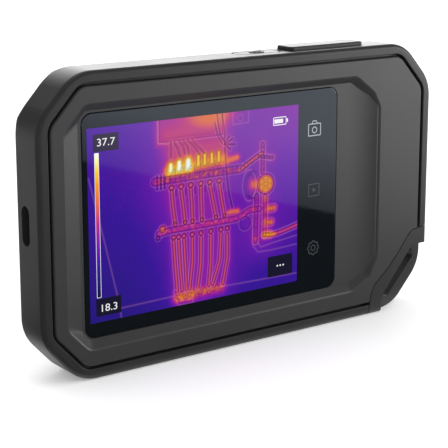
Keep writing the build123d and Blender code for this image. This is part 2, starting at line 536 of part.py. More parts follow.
with BuildPart() as save_button:
    with BuildSketch(Plane.XY.offset(CAP_LOW_Z)):
        with Locations((SAVE_X, SAVE_Y)):
            RectangleRounded(SAVE_L, SAVE_W, SAVE_BEND)
    extrude(amount=HEIGHT + SAVE_PROUD - CAP_LOW_Z)
    fillet(save_button.faces().sort_by(Axis.Z)[-1].edges(), radius=0.5)
    button_stem(SAVE_X, SAVE_Y, SAVE_L, 7.0)
finish(save_button, "save_button")

with BuildPart() as power_button:
    with BuildSketch(Plane.XY.offset(CAP_LOW_Z)):
        with Locations((POWER_X, POWER_Y)):
            SlotOverall(POWER_L, POWER_W)
    extrude(amount=HEIGHT - CAP_LOW_Z)
    fillet(power_button.faces().sort_by(Axis.Z)[-1].edges(), radius=0.4)
    with BuildSketch(Plane.XY.offset(HEIGHT - 0.1)):
        with Locations((POWER_X, POWER_Y)):
            SlotOverall(4.8, 3.4)
            SlotOverall(3.4, 2.0, mode=Mode.SUBTRACT)
    extrude(amount=0.35)
    button_stem(POWER_X, POWER_Y, POWER_L, POWER_W + 0.8)
finish(power_button, "power_button")

# === Port =====================================================================================

with BuildPart() as usb_shell:
    with BuildSketch(Plane.YZ.offset(-HALF_WIDTH + BUMPER_WALL)):
        with Locations((PORT_Y, PORT_Z)):
            SlotOverall(USB_L, USB_W, rotation=90)
            SlotOverall(USB_L - 2 * USB_WALL, USB_W - 2 * USB_WALL, rotation=90, mode=Mode.SUBTRACT)
    extrude(amount=USB_DEPTH)
    with BuildSketch(Plane.YZ.offset(-HALF_WIDTH + BUMPER_WALL + USB_DEPTH - 1.2)):
        with Locations((PORT_Y, PORT_Z)):
            SlotOverall(USB_L, USB_W, rotation=90)
    extrude(amount=1.2)
finish(usb_shell, "usb_shell")

with BuildPart() as usb_tongue:
    low_x = -HALF_WIDTH + BUMPER_WALL
    block((low_x + 0.8, low_x + USB_DEPTH - 1.2), (PORT_Y - 0.35, PORT_Y + 0.35),
          (PORT_Z - 3.3, PORT_Z + 3.3))
finish(usb_tongue, "usb_tongue")

with BuildPart() as port_seal:
    with BuildSketch(Plane.YZ.offset(-HALF_WIDTH + BUMPER_WALL + 0.2)):
        with Locations((PORT_Y, PORT_Z)):
            SlotOverall(USB_L + 1.5, USB_W + 1.5, rotation=90)
            SlotOverall(USB_L + 0.1, USB_W + 0.1, rotation=90, mode=Mode.SUBTRACT)
    extrude(amount=1.4)
finish(port_seal, "port_seal")

# === Optics ===================================================================================

with BuildPart() as optics_plate:
    slab(closed_shape([(x * 0.994 - 0.06, (z - OPTICS_Z) * 0.99 + OPTICS_Z) for x, z in PLATE_SHAPE], 1.0),
         PLATE_SEAT_Y, PLATE_SEAT_Y + OPTICS_PLATE_T)
    for x, aperture in ((IR_X, IR_APERTURE), (CAMERA_X, CAMERA_APERTURE), (LAMP_X, LAMP_APERTURE)):
        slab(discs([(x, OPTICS_Z)], aperture), PLATE_SEAT_Y, POD_Y, Mode.SUBTRACT)
finish(optics_plate, "optics_plate")

with BuildPart() as ir_barrel:
    slab(discs([(IR_X, OPTICS_Z)], BARREL_R), HOUSING_BACK_Y, 10.95)
    slab(discs([(IR_X, OPTICS_Z)], BARREL_BORE_R), HOUSING_BACK_Y, POD_Y, Mode.SUBTRACT)
    slab(discs([(IR_X, OPTICS_Z)], IR_LENS_R + 0.02), 8.8, POD_Y, Mode.SUBTRACT)
finish(ir_barrel, "ir_barrel")

with BuildPart() as ir_lens:
    slab(discs([(IR_X, OPTICS_Z)], IR_LENS_R), 8.8, 10.0)
    with Locations((IR_X, -2.0, OPTICS_Z)):
        Sphere(13.0)
    slab(discs([(IR_X, OPTICS_Z)], IR_LENS_R), 8.8, POD_Y, Mode.INTERSECT)
finish(ir_lens, "ir_lens")

with BuildPart() as ir_housing:
    block(HOUSING_X, (BOARD_BACK_Y, HOUSING_BACK_Y), HOUSING_Z)
    fillet(ir_housing.edges().filter_by(Axis.Y), radius=1.0)
    block((HOUSING_X[0] + HOUSING_WALL, HOUSING_X[1] - HOUSING_WALL),
          (BOARD_BACK_Y, HOUSING_BACK_Y - HOUSING_WALL),
          (HOUSING_Z[0] + HOUSING_WALL, HOUSING_Z[1] - HOUSING_WALL), Mode.SUBTRACT)
    slab(discs([(IR_X, OPTICS_Z)], BARREL_BORE_R), BOARD_BACK_Y, HOUSING_BACK_Y, Mode.SUBTRACT)
finish(ir_housing, "ir_housing")

with BuildPart() as ir_sensor:
    block((IR_X - 5, IR_X + 5), (BOARD_BACK_Y, 0.0), (OPTICS_Z - 5, OPTICS_Z + 5))
    block((IR_X - 3, IR_X + 3), (0.0, 0.4), (OPTICS_Z - 2.5, OPTICS_Z + 2.5))
finish(ir_sensor, "ir_sensor")

with BuildPart() as shutter_flag:
    open_x = IR_X - SHUTTER_TRAVEL
    slab(rounded(open_x, OPTICS_Z, 8.9, 10.0, 1.5), SHUTTER_Y, SHUTTER_Y + SHUTTER_T)
finish(shutter_flag, "shutter_flag")

with BuildPart() as shutter_coil:
    with BuildSketch(depth_plane(BOARD_BACK_Y)):
        with Locations((-34.0, OPTICS_Z)):
            RectangleRounded(7.4, 9.4, 2.0)
            RectangleRounded(2.4, 4.4, 0.8, mode=Mode.SUBTRACT)
    extrude(amount=-2.2)
finish(shutter_coil, "shutter_coil")

with BuildPart() as camera_module:
    block((CAMERA_X - 4, CAMERA_X + 4), (5.0, PLATEAU_Y - REAR_WALL), (OPTICS_Z - 4, OPTICS_Z + 4))
    slab(discs([(CAMERA_X, OPTICS_Z)], 3.3), PLATEAU_Y - REAR_WALL - 0.1, 10.3)
    slab(discs([(CAMERA_X, OPTICS_Z)], 1.6), 9.3, 10.3, Mode.SUBTRACT)
finish(camera_module, "camera_module")

with BuildPart() as camera_lens:
    slab(discs([(CAMERA_X, OPTICS_Z)], 1.58), 9.3, 10.0)
finish(camera_lens, "camera_lens")

with BuildPart() as camera_window:
    slab(discs([(CAMERA_X, OPTICS_Z)], 3.95), 10.4, PLATE_SEAT_Y)
finish(camera_window, "camera_window")

with BuildPart() as lamp_board:
    block((LAMP_X - 4.5, LAMP_X + 4.5), (7.6, PLATEAU_Y - REAR_WALL), (OPTICS_Z - 4.5, OPTICS_Z + 4.5))
    block((LAMP_X - 1.75, LAMP_X + 1.75), (8.4, 9.2), (OPTICS_Z - 1.75, OPTICS_Z + 1.75))
finish(lamp_board, "lamp_board")

with BuildPart() as lamp_lens:
    slab(discs([(LAMP_X, OPTICS_Z)], 3.95), 9.4, PLATE_SEAT_Y)
    slab(discs([(LAMP_X, OPTICS_Z)], 2.2), 9.4, 10.0, Mode.SUBTRACT)
finish(lamp_lens, "lamp_lens")

with BuildPart() as optics_flex:
    ribbon((-8.0, -3.0), [(4.9, 60.0), (4.9, 51.0), (-0.8, 51.0)])
    ribbon((2.0, 6.5), [(7.5, 60.0), (7.5, 55.8), (3.0, 55.8), (3.0, 57.0), (-0.8, 57.0)], radius=0.5)
finish(optics_flex, "optics_flex")
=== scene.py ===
"""Pocket thermal imaging camera: finishes, lit screen and studio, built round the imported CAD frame."""

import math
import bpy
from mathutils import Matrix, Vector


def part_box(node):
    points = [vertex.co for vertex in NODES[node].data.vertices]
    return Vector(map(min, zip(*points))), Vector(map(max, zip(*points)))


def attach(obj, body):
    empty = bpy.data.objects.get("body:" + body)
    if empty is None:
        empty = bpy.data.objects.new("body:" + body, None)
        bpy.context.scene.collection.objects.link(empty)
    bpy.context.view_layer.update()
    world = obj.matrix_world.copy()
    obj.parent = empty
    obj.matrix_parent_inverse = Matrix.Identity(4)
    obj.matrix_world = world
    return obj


bl_info = {
    "name": "Pocket thermal camera",
    "version": (1, 0, 0),
    "blender": (4, 5, 0),
    "location": "View3D > Sidebar > Thermal camera",
    "description": "Finishes a pocket thermal imaging camera and draws its lit touch screen",
    "category": "Object",
}

import bpy
import numpy as np
from bpy.props import FloatProperty, FloatVectorProperty, PointerProperty, StringProperty
from mathutils import Vector

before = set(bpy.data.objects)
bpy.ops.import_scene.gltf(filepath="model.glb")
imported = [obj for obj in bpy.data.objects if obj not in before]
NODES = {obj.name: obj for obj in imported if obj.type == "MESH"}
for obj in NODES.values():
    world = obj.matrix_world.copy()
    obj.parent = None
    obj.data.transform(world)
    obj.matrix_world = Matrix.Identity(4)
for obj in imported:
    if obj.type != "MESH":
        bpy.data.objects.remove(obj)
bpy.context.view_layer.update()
MM = 0.001

GLASS_LOW, GLASS_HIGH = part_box("display_glass")
PANEL_LOW, PANEL_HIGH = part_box("lcd_panel")
# The lit area of a 3.5 inch 4:3 panel, and where it lies on the panel.
LIT_WIDTH, LIT_HEIGHT = 71.1 * MM, 53.3 * MM
LIT_X = (PANEL_LOW.x + PANEL_HIGH.x) / 2 - 0.3 * MM
LIT_Z = (PANEL_LOW.z + PANEL_HIGH.z) / 2
# Depths of the layers on the glass, each a hair in front of the last.
LAYER = 0.03 * MM
PICTURE_Y = GLASS_LOW.y - LAYER
PATCH_Y = PICTURE_Y - LAYER
INK_Y = PATCH_Y - LAYER
DIGIT_WIDENING = 1.16


# ---------------------------------------------------------------------------------------------
# Small tools
# ---------------------------------------------------------------------------------------------


def linear(code, alpha=1.0):
    """An sRGB hex code as linear red, green, blue and alpha."""
    parts = [int(code[i:i + 2], 16) / 255 for i in (1, 3, 5)]
    parts = [p / 12.92 if p <= 0.04045 else ((p + 0.055) / 1.055) ** 2.4 for p in parts]
    return (*parts, alpha)


def add_node(tree, kind, settings=None, links=None):
    """Adds a node, sets its properties and input values, and links inputs to other nodes' sockets."""
    node = tree.nodes.new(kind)
    for name, value in (settings or {}).items():
        if isinstance(name, int) or name in node.inputs:
            node.inputs[name].default_value = value
        else:
            setattr(node, name, value)
    for name, socket in (links or {}).items():
        tree.links.new(socket, node.inputs[name])
    return node


def new_material(name):
    """An empty node material and its tree, with the output node in place."""
    material = bpy.data.materials.new(name)
    material.use_nodes = True
    material.node_tree.nodes.clear()
    return material, material.node_tree


def finish_material(tree, shader):
    """Links a shader to the material's output."""
    add_node(tree, "ShaderNodeOutputMaterial", {}, {"Surface": shader.outputs[0]})


def paint(names, material):
    """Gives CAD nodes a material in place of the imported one."""
    for name in names:
        mesh = NODES[name].data
        mesh.materials.clear()
        mesh.materials.append(material)


def piece_from(name, points, faces, material, body="casing"):
    """A mesh piece from points and faces, riding on a body and taking its finish from a slot."""
    mesh = bpy.data.meshes.new(name)
    mesh.from_pydata([tuple(p) for p in points], [], faces)
    mesh.update()
    mesh.materials.append(material)
    obj = bpy.data.objects.new(name, mesh)
    bpy.context.scene.collection.objects.link(obj)
    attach(obj, body)
    return obj


# ---------------------------------------------------------------------------------------------
# Materials
# ---------------------------------------------------------------------------------------------


def moulded(name, colour, grain_mm, relief_mm, roughness, specular=0.5):
    """Moulded plastic or rubber: a fine spark-eroded grain, cloudy gloss and faint handling marks."""
    material, tree = new_material(name)
    place = add_node(tree, "ShaderNodeTexCoord").outputs["Object"]
    grain = add_node(tree, "ShaderNodeTexNoise",
                     {"Scale": 1 / (grain_mm * MM), "Detail": 2.0, "Roughness": 0.6},
                     {"Vector": place})
    clouds = add_node(tree, "ShaderNodeTexNoise", {"Scale": 1 / (18 * MM), "Detail": 3.0}, {"Vector": place})
    tone = add_node(tree, "ShaderNodeMapRange", {"To Min": 0.93, "To Max": 1.07},
                    {"Value": clouds.outputs["Fac"]})
    base = add_node(tree, "ShaderNodeVectorMath", {"operation": "SCALE", 0: colour[:3]},
                    {"Scale": tone.outputs["Result"]})
    gloss = add_node(tree, "ShaderNodeMapRange", {"To Min": roughness - 0.05, "To Max": roughness + 0.06},
                     {"Value": clouds.outputs["Fac"]})
    relief = add_node(tree, "ShaderNodeBump", {"Strength": 1.0, "Distance": relief_mm * MM},
                      {"Height": grain.outputs["Fac"]})
    shader = add_node(tree, "ShaderNodeBsdfPrincipled", {"Specular IOR Level": specular, "IOR": 1.5},
                      {"Base Color": base.outputs[0], "Roughness": gloss.outputs["Result"],
                       "Normal": relief.outputs["Normal"]})
    finish_material(tree, shader)
    return material


def metal(name, colour, roughness, lines_mm=0.4, along=(1.0, 1.0, 12.0)):
    """Bare or plated metal: fine tool lines along one axis that break up its gloss."""
    material, tree = new_material(name)
    place = add_node(tree, "ShaderNodeTexCoord").outputs["Object"]
    stretched = add_node(tree, "ShaderNodeMapping", {"Scale": along}, {"Vector": place})
    lines = add_node(tree, "ShaderNodeTexNoise", {"Scale": 1 / (lines_mm * MM) / 4, "Detail": 2.0},
                     {"Vector": stretched.outputs["Vector"]})
    gloss = add_node(tree, "ShaderNodeMapRange", {"To Min": roughness - 0.08, "To Max": roughness + 0.1},
                     {"Value": lines.outputs["Fac"]})
    relief = add_node(tree, "ShaderNodeBump", {"Strength": 0.4, "Distance": 0.01 * MM},
                      {"Height": lines.outputs["Fac"]})
    shader = add_node(tree, "ShaderNodeBsdfPrincipled", {"Base Color": colour, "Metallic": 1.0},
                      {"Roughness": gloss.outputs["Result"], "Normal": relief.outputs["Normal"]})
    finish_material(tree, shader)
    return material


def polished(name, colour, roughness=0.05, tint="#ffffff", ior=1.5):
    """Polished glass or gloss plastic with faint finger smears that dull it in patches."""
    material, tree = new_material(name)
    place = add_node(tree, "ShaderNodeTexCoord").outputs["Object"]
    smears = add_node(tree, "ShaderNodeTexNoise", {"Scale": 1 / (9 * MM), "Detail": 4.0, "Distortion": 0.8},
                      {"Vector": place})
    gloss = add_node(tree, "ShaderNodeMapRange", {"From Min": 0.45, "From Max": 0.8, "To Min": roughness,
                                                  "To Max": roughness + 0.05},
                     {"Value": smears.outputs["Fac"]})
    shader = add_node(tree, "ShaderNodeBsdfPrincipled",
                      {"Base Color": colour, "IOR": ior, "Specular Tint": linear(tint)},
                      {"Roughness": gloss.outputs["Result"]})
    finish_material(tree, shader)
    return material


def clear(name, tint, roughness=0.02, ior=1.5):
    """Clear optical glass or acrylic with a faint coating colour."""
    material, tree = new_material(name)
    place = add_node(tree, "ShaderNodeTexCoord").outputs["Object"]
    dust = add_node(tree, "ShaderNodeTexNoise", {"Scale": 1 / (2 * MM), "Detail": 4.0}, {"Vector": place})
    gloss = add_node(tree, "ShaderNodeMapRange",
                     {"From Min": 0.5, "To Min": roughness, "To Max": roughness + 0.08},
                     {"Value": dust.outputs["Fac"]})
    shader = add_node(tree, "ShaderNodeBsdfPrincipled",
                      {"Base Color": tint, "Transmission Weight": 1.0, "IOR": ior},
                      {"Roughness": gloss.outputs["Result"]})
    finish_material(tree, shader)
    return material


def glowing(name, colour, strength, roughness=0.05):
    """A lit or back-lit mark behind cover glass: even light under a glossy skin."""
    material, tree = new_material(name)
    place = add_node(tree, "ShaderNodeTexCoord").outputs["Object"]
    cells = add_node(tree, "ShaderNodeTexNoise", {"Scale": 1 / (0.2 * MM), "Detail": 1.0}, {"Vector": place})
    glow = add_node(tree, "ShaderNodeMapRange", {"To Min": strength * 0.9, "To Max": strength * 1.1},
                    {"Value": cells.outputs["Fac"]})
    shader = add_node(tree, "ShaderNodeBsdfPrincipled",
                      {"Base Color": linear("#050505"), "Roughness": roughness, "IOR": 1.5,
                       "Emission Color": colour}, {"Emission Strength": glow.outputs["Result"]})
    finish_material(tree, shader)
    return material


def heat_picture(name, strength):
    """The lit panel: warmth through an iron palette, with the visible-light outlines laid on top."""
    material, tree = new_material(name)
    heat = add_node(tree, "ShaderNodeAttribute", {"attribute_name": "warmth"})
    outline = add_node(tree, "ShaderNodeAttribute", {"attribute_name": "outline"})
    palette = add_node(tree, "ShaderNodeValToRGB", {}, {"Fac": heat.outputs["Fac"]})
    ramp = palette.color_ramp
    ramp.elements[0].position, ramp.elements[0].color = 0.0, linear("#08062e")
    ramp.elements[1].position, ramp.elements[1].color = 1.0, linear("#fffff4")
    for position, code in IRON_PALETTE:
        ramp.elements.new(position).color = linear(code)
    darker = add_node(tree, "ShaderNodeMapRange",
                      {"From Min": 0.0, "From Max": -1.0, "To Min": 0.0, "To Max": 0.75},
                      {"Value": outline.outputs["Fac"]})
    lighter = add_node(tree, "ShaderNodeMapRange", {"To Min": 0.0, "To Max": 0.5},
                       {"Value": outline.outputs["Fac"]})
    shaded = add_node(tree, "ShaderNodeMix", {"data_type": "RGBA", "clamp_result": False},
                      {0: darker.outputs["Result"], 6: palette.outputs["Color"]})
    shaded.inputs[7].default_value = linear("#180838")
    lit = add_node(tree, "ShaderNodeMix", {"data_type": "RGBA"},
                   {0: lighter.outputs["Result"], 6: shaded.outputs[2]})
    lit.inputs[7].default_value = linear("#f49ac8")
    shader = add_node(tree, "ShaderNodeBsdfPrincipled",
                      {"Base Color": linear("#0c0e11"), "Roughness": 0.05, "IOR": 1.5,
                       "Specular Tint": linear("#e0ecff"), "Emission Strength": strength},
                      {"Emission Color": lit.outputs[2]})
    finish_material(tree, shader)
    return material


# Stops of the iron palette, from cold to hot.
IRON_PALETTE = [
    (0.12, "#1c1478"), (0.24, "#3c10a2"), (0.34, "#6c16b2"), (0.44, "#9c1ea8"), (0.52, "#c02c88"),
    (0.60, "#da5864"), (0.68, "#e8743e"), (0.78, "#f6981e"), (0.88, "#ffd22a"), (0.95, "#fff69c"),
]


def lit_board(name):
    """Pale opal board lit a little from below, which keeps a shadow on it faint."""
    material, tree = new_material(name)
    opal = add_node(tree, "ShaderNodeBsdfPrincipled",
                    {"Base Color": linear("#f6f6f6"), "Roughness": 0.8, "Specular IOR Level": 0.2,
                     "Emission Color": (1, 1, 1, 1), "Emission Strength": 0.22})
    finish_material(tree, opal)
    return material


FLOOR_HALF = 3.0  # metres, as all of these
CARD_LIFT = 0.0005
FADE_LENGTH = 0.12
LIGHT_AIM = (0, 0, 0.04)
CAMERA_PLACE = (-0.2298, -0.3160, 0.1293)
CAMERA_ANGLES = (35.82, 11.93, 0.06)  # degrees: yaw, pitch, roll
CAMERA_LENS = 109.56  # millimetres
CAMERA_SHIFT = -0.10  # of the picture's width


def faded_card(name, corner, across):
    """Black felt that thins out over its last 120 mm, from a corner on in the direction of across."""
    material, tree = new_material(name)
    place = add_node(tree, "ShaderNodeTexCoord").outputs["Object"]
    run = add_node(tree, "ShaderNodeVectorMath", {"operation": "SUBTRACT", 1: (*corner, 0)}, {0: place})
    reach = add_node(tree, "ShaderNodeVectorMath", {"operation": "DOT_PRODUCT", 1: (*across, 0)},
                     {0: run.outputs[0]})
    thin = add_node(tree, "ShaderNodeMapRange",
                    {"From Min": 0.0, "From Max": FADE_LENGTH, "To Min": 0.35, "To Max": 1.0},
                    {"Value": reach.outputs["Value"]})
    solid = add_node(tree, "ShaderNodeMath", {"operation": "GREATER_THAN", 1: 0.0},
                     {0: reach.outputs["Value"]})
    gap = add_node(tree, "ShaderNodeMath", {"operation": "MULTIPLY"},
                   {0: thin.outputs["Result"], 1: solid.outputs["Value"]})
    felt = add_node(tree, "ShaderNodeBsdfDiffuse", {"Color": linear("#0a0b0c")})
    hole = add_node(tree, "ShaderNodeBsdfTransparent")
    card = add_node(tree, "ShaderNodeMixShader", {},
                    {0: gap.outputs[0], 1: felt.outputs[0], 2: hole.outputs[0]})
    finish_material(tree, card)
    return material


# ---------------------------------------------------------------------------------------------
# The thermal picture
# ---------------------------------------------------------------------------------------------


def run_distance(x, z, points):
    """Distance of each x, z from a line through points: the least over its straight runs, in millimetres."""
    best = np.full(x.shape, 1e9)
    for (ax, az), (bx, bz) in zip(points[:-1], points[1:]):
        dx, dz = bx - ax, bz - az
        t = np.clip(((x - ax) * dx + (z - az) * dz) / (dx * dx + dz * dz), 0, 1)
        best = np.minimum(best, np.hypot(x - ax - t * dx, z - az - t * dz))
    return best


def bell(distance, width):
    """A soft bump, one at distance nought and falling away over width: exp of minus the square of their ratio."""
    return np.exp(-(distance / width) ** 2)


class HeatScene:
    """The heating manifold that the camera looks at, as arrays of heat and of outline over the lit area."""

    def __init__(self, x, z):
        self.x, self.z = x, z
        up = np.clip((z - 16) / 52, 0, 1)
        right = np.clip((x + 54) / 71, 0, 1)
        self.heat = 0.15 + 0.13 * up + 0.07 * right + 0.05 * right * up
        self.line = np.zeros_like(x)
        # Sensor noise: a fine grain, and a coarser one of five cells that is read as blotches.
        random = np.random.default_rng(7)
        fine = random.normal(0, 1.0, x.shape)
        kernel = np.hanning(7) / np.hanning(7).sum()
        soft = np.apply_along_axis(np.convolve, 0, random.normal(0, 1.0, x.shape), kernel, mode="same")
        self.blotch = np.apply_along_axis(np.convolve, 1, soft, kernel, mode="same") * 3.4
        self.heat += 0.003 * fine + 0.004 * self.blotch

    def warm(self, distance, level, width):
        """Raises the heat towards level near a shape, never lowering it."""
        self.heat = np.maximum(self.heat, self.heat + (level - self.heat) * bell(distance, width))

    def ink(self, distance, amount, width=0.15):
        """Draws a fine dark (negative) or pale (positive) outline along a distance of nought."""
        self.line = self.line + amount * bell(distance, width)

    def far(self, points):
        """Distance from a line through points."""
        return run_distance(self.x, self.z, points)

    def edge(self, points, radius, dark=-0.75, pale=0.62):
        """The outline of a tube: dark at its sides, pale just outside them."""
        d = self.far(points)
        self.ink(d - radius, dark, 0.17)
        self.ink(d - radius - 0.38, pale, 0.14)

    def pipe(self, points, level, radius=0.5, glow=1.5):
        """A warm tube with a hotter core, a glow round it, and its outline."""
        d = self.far(points)
        self.warm(d, level * 0.72, glow)
        self.warm(d, level, radius * 0.9)
        self.edge(points, radius)

    def ring(self, x, z, radius, amount=-0.7, width=0.15):
        """A fine circle."""
        self.ink(np.hypot(self.x - x, self.z - z) - radius, amount, width)

    def spot(self, x, z, level, width):
        """A warm round patch."""
        self.warm(np.hypot(self.x - x, self.z - z), level, width)

    def fitting(self, x, z, level=0.6, radius=0.75):
        """A round union: warm in the middle, with a dark ring and a pale one round it."""
        self.spot(x, z, level, radius)
        self.ring(x, z, radius, -1.0, 0.2)
        self.ring(x, z, radius + 0.4, 0.4, 0.13)


# The scene on the screen, in millimetres across and up the casing. Each tube is a line of points.
FAN = [
    [(-27.1, 62.1), (-27.1, 57.9)], [(-26.0, 62.0), (-24.9, 60.3), (-24.1, 57.8)],
    [(-24.3, 62.2), (-23.0, 60.8), (-22.5, 58.6)], [(-23.0, 62.2), (-21.7, 60.6), (-21.1, 58.2)],
    [(-21.7, 62.2), (-20.0, 60.9), (-17.5, 57.8)], [(-20.0, 62.2), (-18.3, 60.2), (-16.1, 58.1)],
]
CABLES = [
    [(-10.1, 70), (-9.0, 63.5), (-9.0, 59.7), (-8.6, 54.8), (-8.1, 49.9), (-7.4, 44.9), (-6.3, 40.9)],
    [(-12.4, 66.2), (-11.3, 62.3), (-9.3, 59.4)], [(-11.6, 68.6), (-10.6, 62.6), (-8.8, 60.2)],
    [(-9.0, 59.7), (-6.1, 61.0)], [(-9.0, 59.7), (-5.2, 59.2)], [(-9.0, 59.7), (-7.0, 58.0)],
    [(-9.0, 59.9), (-7.4, 61.8)],
]
VALVES = [  # across, low end, high end, heat, width
    (-27.2, 54.4, 55.8, 0.98, 1.1), (-24.4, 54.6, 56.2, 1.02, 1.15), (-21.4, 54.8, 56.4, 1.06, 1.3),
    (-18.0, 54.8, 57.2, 0.88, 0.85), (-15.8, 54.9, 57.3, 0.86, 0.8), (-13.4, 55.0, 57.4, 0.86, 0.75),
    (-11.0, 55.2, 57.6, 0.85, 0.7),
]
UPPER_BAR = [(-32.5, 51.7), (-2.9, 52.0)]
LOWER_BAR = [(-31.4, 36.9), (-28.2, 37.4), (-4.6, 37.6), (0.0, 39.4), (3.6, 39.3)]
UPPER_TUBES = [
    [(-27.0, 48.6), (-26.6, 44.0), (-25.9, 39.4)], [(-23.8, 48.4), (-23.2, 44.0), (-22.6, 38.9)],
    [(-20.6, 48.4), (-20.3, 44.0), (-20.1, 38.6)], [(-17.2, 48.5), (-17.1, 44.0), (-16.9, 38.8)],
    [(-14.1, 48.6), (-13.0, 43.6), (-12.0, 38.9)], [(-10.9, 48.7), (-10.0, 43.6), (-9.1, 39.1)],
]
LOWER_TUBES = [
    [(-26.5, 34.6), (-26.0, 27.1), (-25.4, 19.6)], [(-24.8, 34.2), (-24.4, 26.8), (-23.7, 19.6)],
    [(-23.0, 34.2), (-22.6, 27.0), (-22.3, 19.6)], [(-20.2, 34.2), (-20.2, 27.1), (-21.2, 19.6)],
    [(-17.2, 34.0), (-17.3, 26.6), (-18.3, 19.6)], [(-13.8, 34.0), (-13.9, 26.6), (-14.6, 19.4)],
    [(-10.3, 34.0), (-10.8, 26.1), (-13.3, 19.6)], [(-8.1, 33.6), (-8.1, 26.6), (-9.7, 19.1)],
]
FAINT_LINES = [
    [(-53.2, 55.2), (-51.2, 47.2), (-49.6, 41.0), (-45.0, 21.8), (-43.8, 15.3)],
    [(-44.1, 18.0), (-26.0, 18.3)],
    [(-10.4, 18.3), (2.5, 18.0), (17.3, 17.8)], [(-6.1, 70), (-6.1, 64.9), (-0.6, 65.1), (-0.6, 70)],
    [(1.1, 33.5), (1.2, 28.5), (2.9, 26.5), (7.2, 26.3), (17.3, 26.7)],
    [(2.9, 29.5), (3.9, 27.8), (8.0, 28.4), (17.3, 29.4)],
]


